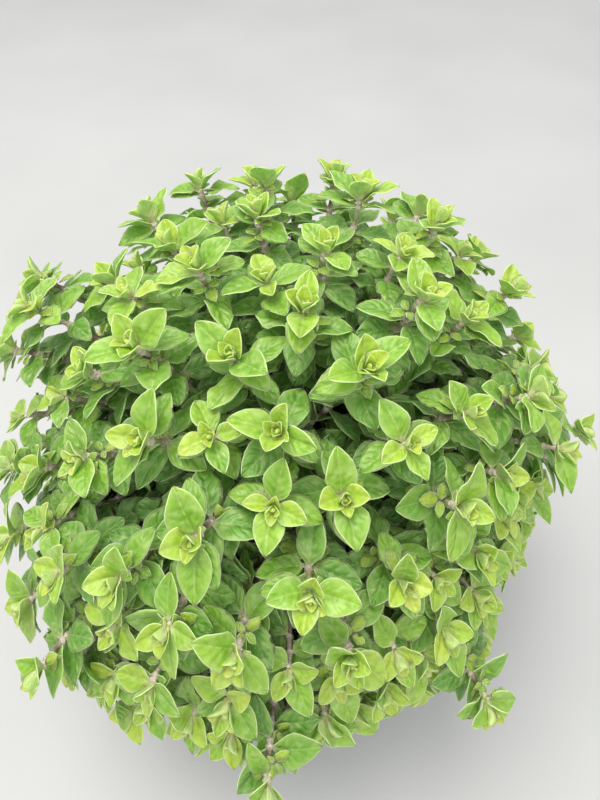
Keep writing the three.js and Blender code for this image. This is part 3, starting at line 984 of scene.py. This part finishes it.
class Surface:
    """A material, written down node by node, with its base colour laid on in layers."""

    def __init__(self, name, constants=()):
        self.material = bpy.data.materials.new(name)
        self.material.use_nodes = True
        self.tree = self.material.node_tree
        self.shader = self.tree.nodes["Principled BSDF"]
        for label, value in dict(constants).items():
            self.shader.inputs[label].default_value = value

    def connect(self, socket, value):
        if isinstance(value, bpy.types.NodeSocket):
            self.tree.links.new(value, socket)
        else:
            socket.default_value = value

    def node(self, kind, settings=(), inputs=()):
        node = self.tree.nodes.new(kind)
        for label, value in dict(settings).items():
            setattr(node, label, value)
        for label, value in dict(inputs).items():
            self.connect(node.inputs[label], value)
        return node

    def math(self, operation, *values, clamp=False):
        inputs = dict(enumerate(values))
        return self.node("ShaderNodeMath", {"operation": operation, "use_clamp": clamp}, inputs).outputs[0]

    def times(self, *values):
        return reduce(lambda first, second: self.math("MULTIPLY", first, second), values)

    def plus(self, *values):
        return reduce(lambda first, second: self.math("ADD", first, second), values)

    def span(self, value, low, high, to_low=0.0, to_high=1.0):
        """The value carried smoothly from one span to another."""
        inputs = dict(enumerate((value, low, high, to_low, to_high)))
        return self.node("ShaderNodeMapRange", {"interpolation_type": "SMOOTHSTEP"}, inputs).outputs[0]

    def fade(self, value, low, high, most=1.0):
        """Most of a thing up to the low value, and none of it from the high one."""
        return self.span(value, low, high, most, 0.0)

    def mix(self, share, first, second, blend="MIX"):
        settings = {"data_type": "RGBA", "blend_type": blend}
        return self.node("ShaderNodeMix", settings, {0: share, 6: first, 7: second}).outputs[2]

    def ramp(self, share, *stops):
        """A ramp through stops, each a place and a colour."""
        node = self.node("ShaderNodeValToRGB", inputs={0: share})
        elements = node.color_ramp.elements
        while len(elements) < len(stops):
            elements.new(0.5)
        for element, (place, *shade) in zip(elements, stops):
            element.position, element.color = place, colour(*shade)
        return node.outputs[0]

    def lay(self, share, *shade):
        """Lays a colour, or what a socket gives, over the base."""
        over = colour(*shade) if len(shade) == 3 else shade[0]
        self.base = self.mix(share, self.base, over)

    def attribute(self, name):
        node = self.node("ShaderNodeAttribute", {"attribute_name": name})
        return self.node("ShaderNodeSeparateXYZ", inputs={0: node.outputs["Vector"]}).outputs[:3]

    def noise(self, scale, detail=2.0, roughness=0.5, stretch=(1, 1, 1)):
        place = self.node("ShaderNodeTexCoord").outputs["Object"]
        place = self.node("ShaderNodeMapping", inputs={"Vector": place, "Scale": stretch}).outputs[0]
        settings = {"Vector": place, "Scale": scale, "Detail": detail, "Roughness": roughness}
        return self.node("ShaderNodeTexNoise", inputs=settings).outputs[0]

    def finish(self, roughness, height, depth, strength=1.0):
        bump = self.node("ShaderNodeBump", inputs={"Height": height, "Distance": depth, "Strength": strength})
        inputs = {"Base Color": self.base, "Roughness": roughness, "Normal": bump.outputs[0]}
        for label, value in inputs.items():
            self.connect(self.shader.inputs[label], value)
        return self.material


LEAF_CONSTANTS = {
    "Subsurface Weight": 0.6,
    "Subsurface Scale": 0.001,
    "Subsurface Radius": (0.7, 1.1, 0.3),
    "Specular IOR Level": 0.55,
    "Sheen Weight": 0.06,
    "Sheen Roughness": 0.45,
    "Sheen Tint": colour(236, 248, 214),
}
# Ages and colours, from a bud's heart to the oldest leaves.
LEAF_GREENS = [(0.0, 210, 226, 98), (0.2, 182, 209, 68), (0.42, 150, 193, 57), (0.64, 118, 170, 46)]
LEAF_GREENS += [(1.0, 88, 141, 46)]


def leaf_material():
    leaf = Surface("oregano_leaf", LEAF_CONSTANTS)
    s, t, half = leaf.attribute("blade")  # across from -1 to 1, along from 0 to 1, half width in mm
    age, tone, side = leaf.attribute("growth")
    reach = leaf.math("ABSOLUTE", s)
    edge = leaf.times(leaf.math("SUBTRACT", 1.0, reach), half)  # distances in mm
    from_rib = leaf.times(reach, half)
    young = leaf.span(age, 0.0, 0.6, 1.0, 0.3)
    # Veins and midrib.
    wander = leaf.times(leaf.noise(260.0, detail=1.0), 0.9)
    sweep = leaf.times(leaf.math("POWER", reach, 1.25), -1.7)
    phase = leaf.math("FRACT", leaf.plus(leaf.times(t, 5.4), sweep, wander))
    from_vein = leaf.math("ABSOLUTE", leaf.plus(phase, -0.5))
    inside = leaf.fade(reach, 0.6, 0.92)
    vein = leaf.times(leaf.fade(from_vein, 0.02, 0.12), inside)
    valley = leaf.times(leaf.fade(from_vein, 0.0, 0.45), inside)
    # Green by age, with duller leaves among the older ones and pale patches of painted sheen on the faces.
    fine = leaf.noise(520.0, detail=3.0)
    patchy = leaf.times(leaf.plus(leaf.noise(90.0), -0.5), 0.36)
    leaf.base = leaf.ramp(leaf.math("ADD", age, patchy, clamp=True), *LEAF_GREENS)
    leaf.lay(leaf.times(tone, leaf.span(age, 0.15, 0.8, 0.1, 0.46)), 92, 144, 76)
    # Painted sheen: pale patches laid on as whitish highlights, strongest away from the margin.
    painted_sheen = leaf.span(leaf.noise(250.0, detail=2.0), 0.48, 0.72, 0.0, 0.42)
    leaf.lay(leaf.times(painted_sheen, leaf.span(reach, 0.5, 0.95, 1.0, 0.2)), 198, 220, 142)
    leaf.lay(leaf.span(reach, 0.4, 1.0, 0.0, 0.28), 202, 224, 140)
    # Paler towards the root, along the veins and on the underside.
    leaf.lay(leaf.times(leaf.fade(t, 0.04, 0.36), young, 0.7), 226, 230, 172)
    leaf.lay(leaf.fade(t, 0.04, 0.18, 0.85), 226, 208, 186)
    leaf.lay(leaf.times(vein, leaf.span(age, 0.3, 0.9, 0.08, 0.2)), 206, 228, 146)
    leaf.lay(leaf.times(leaf.fade(from_rib, 0.06, 0.26), 0.22), 214, 232, 150)
    under = leaf.fade(side, 0.2, 0.5)
    leaf.lay(leaf.times(under, 0.75), 198, 222, 146)
    leaf.lay(leaf.times(leaf.fade(t, 0.1, 0.6, 0.8), under, young), 234, 230, 180)
    # Fine mottling, and the pale rim.
    shade = leaf.span(fine, 0.3, 0.7, 0.9, 1.07)
    grey = leaf.node("ShaderNodeCombineXYZ", inputs={0: shade, 1: shade, 2: shade})
    leaf.base = leaf.mix(1.0, leaf.base, grey.outputs[0], "MULTIPLY")
    rim = leaf.times(leaf.fade(edge, 0.16, 0.42), leaf.span(age, 0.02, 0.3, 0.45, 1.0))
    leaf.lay(rim, leaf.ramp(age, (0.1, 226, 246, 164), (0.6, 214, 250, 164)))
    quilt = leaf.times(valley, leaf.span(age, 0.0, 0.9, -0.12, -0.6))
    groove = leaf.times(leaf.fade(from_rib, 0.0, 1.3), -0.9)
    lumps = leaf.times(leaf.noise(290.0, detail=1.0), 1.9)
    height = leaf.plus(quilt, groove, lumps, leaf.times(fine, 0.15))
    rough = leaf.math("MAXIMUM", leaf.span(fine, 0.3, 0.7, 0.32, 0.46), leaf.span(edge, 0.1, 0.6, 0.85, 0.3))
    return leaf.finish(rough, height, 0.0005, 0.85)


# Depths below the tip, in shares of 50 mm, and colours.
STALK_BROWNS = [(0.0, 188, 204, 128), (0.08, 166, 158, 116), (0.2, 130, 98, 84), (0.5, 104, 72, 62)]
STALK_BROWNS += [(1.0, 88, 64, 50)]


def stalk_material():
    stalk = Surface("oregano_stalk")
    depth, tone, node = stalk.attribute("growth")
    fuzz = stalk.attribute("fuzz")[0]
    streaks = stalk.noise(300.0, detail=3.0)
    varied_tone = stalk.times(stalk.plus(tone, -0.5), 0.12)
    stalk.base = stalk.ramp(stalk.math("ADD", depth, varied_tone, clamp=True), *STALK_BROWNS)
    stalk.lay(stalk.span(streaks, 0.35, 0.7, 0.0, 0.35), 70, 48, 44)
    stalk.lay(stalk.times(node, 0.9), 220, 198, 184)
    down = stalk.times(stalk.span(stalk.noise(1900.0), 0.5, 0.62), node)
    stalk.lay(down, 244, 236, 224)
    stalk.lay(fuzz, 226, 222, 206)
    height = stalk.plus(stalk.times(streaks, 0.6), stalk.noise(1500.0))
    return stalk.finish(stalk.span(streaks, 0.3, 0.7, 0.5, 0.75), height, 0.0002, 0.7)


def pot_material():
    pot = Surface("matte_nursery_plastic")
    scuffs = pot.noise(26.0, detail=6.0, roughness=0.7, stretch=(1, 1, 3))
    pot.base = pot.ramp(scuffs, (0.35, 34, 35, 36), (0.62, 46, 47, 48), (0.78, 66, 65, 63))
    pot.lay(pot.span(pot.noise(9.0, detail=4.0), 0.5, 0.75, 0.0, 0.22), 104, 92, 76)  # dust
    height = pot.plus(pot.noise(2600.0, detail=1.0), pot.times(scuffs, 0.5))
    return pot.finish(pot.span(scuffs, 0.35, 0.7, 0.4, 0.62), height, 0.00012, 0.5)


PEAT, BARK, PALE_GRAIN = 0.0, 0.5, 1.0  # what a lump of the soil is


def soil_material():
    soil = Surface("peat_soil")
    kind, tone, _ = soil.attribute("growth")
    crumbs = soil.noise(240.0, detail=5.0, roughness=0.7)
    fibre = soil.noise(700.0, detail=2.0, stretch=(1, 0.25, 1))
    soil.base = soil.ramp(crumbs, (0.3, 34, 24, 18), (0.5, 62, 45, 33), (0.72, 96, 74, 54))
    bark = soil.ramp(fibre, (0.3, 66, 42, 28), (0.6, 122, 84, 54), (0.8, 150, 112, 76))
    soil.lay(soil.span(kind, 0.3, 0.4), bark)
    soil.lay(soil.span(kind, 0.7, 0.9, 0.0, 0.85), 222, 218, 206)
    soil.lay(soil.times(tone, 0.4), 40, 28, 20)
    height = soil.plus(crumbs, soil.times(fibre, 0.4))
    return soil.finish(soil.span(crumbs, 0.3, 0.7, 0.95, 0.75), height, 0.0012)


def floor_material():
    floor = Surface("pale_floor")
    speckle = floor.noise(5.0, detail=3.0)
    floor.base = floor.ramp(speckle, (0.3, 208, 207, 204), (0.7, 216, 215, 212))
    return floor.finish(floor.span(speckle, 0.3, 0.7, 0.6, 0.7), speckle, 0.0001, 0.2)


# ---- The plant's pieces ----

leaf_surface, stalk_surface = leaf_material(), stalk_material()
for number in range(STEMS):
    node = f"leafy_stem_{number + 1:02d}"
    leaves = Heap("blade", "growth")
    for blade in blades:
        if blade.stem == number:
            add_leaf(leaves, blade)
    for middle, axis, side, size, stem in cores:
        if stem == number:
            add_core(leaves, middle, axis, side, size)
    leaves.piece(f"{node}_leaves", leaf_surface, node, "foliage")
    stalks = Heap("growth", "fuzz")
    for shoot in shoots:
        if shoot.stem == number:
            add_stalk(stalks, shoot)
            add_hairs(stalks, shoot)
    stalks.piece(f"{node}_stalks", stalk_surface, node, "foliage")


# ---- Pot and soil ----

POT_SEGMENTS, DRILL_SEGMENTS = 128, 24


def lathe(profile, segments):
    """A closed form swept round the upright axis, from a profile that starts and ends on the axis."""
    rings = profile[1:-1]
    points = [(0, 0, profile[0][1]), (0, 0, profile[-1][1])]
    for k in range(segments):
        angle = k * 2 * math.pi / segments
        points += [(r * math.cos(angle), r * math.sin(angle), z) for r, z in rings]
    faces = []
    for k in range(segments):
        here, there = 2 + k * len(rings), 2 + (k + 1) % segments * len(rings)
        faces.append((0, there, here))
        faces.append((1, here + len(rings) - 1, there + len(rings) - 1))
        for i in range(len(rings) - 1):
            faces.append((here + i, there + i, there + i + 1, here + i + 1))
    return points, faces


def arc(centre, radius, start, end, steps):
    """Points on an arc of a profile, from one angle to another in degrees."""
    angles = np.linspace(start, end, steps) * DEGREE
    return [(centre[0] + radius * math.cos(a), centre[1] + radius * math.sin(a)) for a in angles]


def inner_radius(z):
    low, high = POT_BASE - POT_WALL, POT_RIM - 2 * POT_WALL
    return low + (high - low) * (z - POT_FLOOR) / (POT_HEIGHT - POT_FLOOR)


def outer_radius(z):
    return POT_BASE + (POT_NECK - POT_BASE) * z / (POT_HEIGHT - RIM_DEPTH)


def pot_profile():
    shoulder = POT_HEIGHT - RIM_DEPTH
    profile = [(0, 1.0), (20, 1.0), (POT_BASE - 9, 1.0), (POT_BASE - 8, 0), (POT_BASE - 2, 0)]
    profile += arc((POT_BASE - 1.7, 1.7), 1.7, -75, -8, 5)
    profile += [(outer_radius(z), z) for z in (3, 14, 28, 42, 56, 70, 82, shoulder - 2)]
    profile += [(outer_radius(shoulder) + 0.3, shoulder - 0.6), (outer_radius(shoulder) + 1.2, shoulder)]
    profile += arc((POT_RIM - 2, shoulder + 0.9), 0.9, -80, 0, 4)
    profile += [(POT_RIM - 0.8, shoulder + 5), (POT_RIM - 0.2, POT_HEIGHT - 3)]
    profile += arc((POT_RIM - 1.4, POT_HEIGHT - 1.4), 1.4, 10, 170, 9)
    profile += [(inner_radius(z), z) for z in (POT_HEIGHT - 4, POT_HEIGHT - 9, 80, 50, 25, POT_FLOOR + 2)]
    profile += [(POT_BASE - POT_WALL - 2, POT_FLOOR), (20, POT_FLOOR), (0, POT_FLOOR)]
    return profile


def make_pot():
    points, faces = lathe(pot_profile(), POT_SEGMENTS)
    pot = new_piece("nursery_pot", points, faces, {}, pot_material(), "pot")
    drills = bpy.data.meshes.new("drills")
    bores = bmesh.new()
    for hole in range(DRAIN_HOLES):
        angle = hole * 2 * math.pi / DRAIN_HOLES
        across = Vector((math.cos(angle), math.sin(angle), 0)) * DRAIN_CIRCLE * MM
        drill = {"segments": DRILL_SEGMENTS, "radius1": DRAIN_RADIUS * MM, "radius2": DRAIN_RADIUS * MM}
        drill |= {"depth": 4 * POT_FLOOR * MM, "matrix": Matrix.Translation(across)}
        bmesh.ops.create_cone(bores, cap_ends=True, **drill)
    bores.to_mesh(drills)
    cutter = bpy.data.objects.new("drills", drills)
    bpy.context.scene.collection.objects.link(cutter)
    cut = pot.modifiers.new("drain_holes", "BOOLEAN")
    cut.object = cutter
    cut.operation = "DIFFERENCE"
    drilled = bpy.data.meshes.new_from_object(pot.evaluated_get(bpy.context.evaluated_depsgraph_get()))
    pot.modifiers.clear()
    pot.data = drilled
    drilled.set_sharp_from_angle(angle=40 * DEGREE)
    bpy.data.objects.remove(cutter)


SOIL_RINGS, SOIL_SEGMENTS = 34, 96
SOIL_GAP = 0.4  # between the soil and the pot
LUMPS, LARGE_EVERY = 650, 6  # loose lumps on the soil, and every how many one is large
LUMP_KINDS = [PEAT, BARK, PALE_GRAIN]
LUMP_SHARES = [0.62, 0.3, 0.08]


def soil_height(x, y, radius):
    """The height of the soil: a low mound with humps, hollows and crumbs."""
    mound = SOIL_MOUND * (1 - (math.hypot(x, y) / radius) ** 2)
    humps = 1.1 * noise.noise(Vector((x, y, 3)) * 0.09)
    crumbs = 0.7 * noise.noise(Vector((x, y, 7)) * 0.35) + 0.35 * noise.noise(Vector((x, y, 9)) * 0.9)
    return SOIL_TOP + mound + humps + crumbs - SOIL_GAP


def make_soil():
    soil = Heap("growth")
    radius = inner_radius(SOIL_TOP) - SOIL_GAP
    profile = [(0, POT_FLOOR + SOIL_GAP), (inner_radius(POT_FLOOR) - 1.5, POT_FLOOR + SOIL_GAP)]
    profile += [(inner_radius(z) - SOIL_GAP, z) for z in (POT_FLOOR + 2, 30, 60, 85)]
    profile += [(radius * (1 - k / SOIL_RINGS), SOIL_TOP) for k in range(SOIL_RINGS)] + [(0, SOIL_TOP)]
    points, faces = lathe(profile, SOIL_SEGMENTS)
    points = [(x, y, soil_height(x, y, radius) if z == SOIL_TOP else z) for x, y, z in points]
    soil.add(points, faces, growth=(0, 0, 0))
    for lump in range(LUMPS):
        large = lump % LARGE_EVERY == 0
        form = bmesh.new()
        bmesh.ops.create_icosphere(form, subdivisions=2 if large else 1, radius=1)
        kind = random.choice(LUMP_KINDS, p=LUMP_SHARES)
        size = random.uniform(0.6, 1.5) * (1.5 if large else 1)
        stretch = np.array([1.8, 0.9, 0.45] if kind == BARK else [1.1, 0.95, 0.8])
        reach = (radius - 3) * math.sqrt(random.random())
        angle = random.uniform(0, 2 * math.pi)
        x, y = reach * math.cos(angle), reach * math.sin(angle)
        corners = np.array([vertex.co for vertex in form.verts])
        corners = corners * (1 + 0.28 * random.normal(size=(len(corners), 1)).clip(-1, 1)) * stretch * size
        corners = np.array([turned(corner, UP, angle * 5) for corner in corners])
        corners += np.array([x, y, soil_height(x, y, radius) + 0.15 * size])
        lump_faces = [[vertex.index for vertex in face.verts] for face in form.faces]
        soil.add(corners, lump_faces, growth=(kind, random.random(), 0))
        form.free()
    soil.piece("potting_mix", soil_material(), "soil", "potting_soil")


make_pot()
make_soil()


# ---- Floor and light ----

FLOOR_REACH, FLOOR_DROP = 6, 0.0002  # in metres
floor_mesh = bpy.data.meshes.new("floor")
corners = [(x * FLOOR_REACH, y * FLOOR_REACH, 0) for x, y in ((-1, -1), (1, -1), (1, 1), (-1, 1))]
floor_mesh.from_pydata(corners, [], [(0, 1, 2, 3)])
floor_mesh.materials.append(floor_material())
floor = bpy.data.objects.new("floor", floor_mesh)
floor.location.z = -FLOOR_DROP
bpy.context.scene.collection.objects.link(floor)


BUSH = Vector((0, 0, 0.14))
OVERHEAD_POWER, FRONT_POWER, SKY_STRENGTH = 9.3, 3, 0.775


def area_light(name, place, size, power, tint):
    """A round light that shines at the middle of the bush."""
    data = bpy.data.lights.new(name, "AREA")
    data.shape, data.size, data.energy, data.color = "DISK", size, power, tint
    light = bpy.data.objects.new(name, data)
    light.location = place
    light.rotation_euler = (BUSH - Vector(place)).to_track_quat("-Z", "Y").to_euler()
    bpy.context.scene.collection.objects.link(light)


area_light("overhead", (-0.25, 0.0, 1.25), 0.8, OVERHEAD_POWER, (1, 0.98, 0.95))
area_light("front", (0.4, -1.1, 0.9), 0.9, FRONT_POWER, (0.96, 0.98, 1))

world = bpy.data.worlds.new("studio")
world.use_nodes = True
nodes, links = world.node_tree.nodes, world.node_tree.links
height = nodes.new("ShaderNodeSeparateXYZ")
blend = nodes.new("ShaderNodeValToRGB")
blend.color_ramp.elements[0].color = (0.69, 0.7, 0.71, 1)
blend.color_ramp.elements[1].color = (1.1, 1.13, 1.17, 1)
background = nodes["Background"].inputs
links.new(nodes.new("ShaderNodeTexCoord").outputs["Generated"], height.inputs[0])
links.new(height.outputs[2], blend.inputs[0])
links.new(blend.outputs[0], background["Color"])
background["Strength"].default_value = SKY_STRENGTH
bpy.context.scene.world = world
bpy.context.scene.view_settings.view_transform = "Standard"
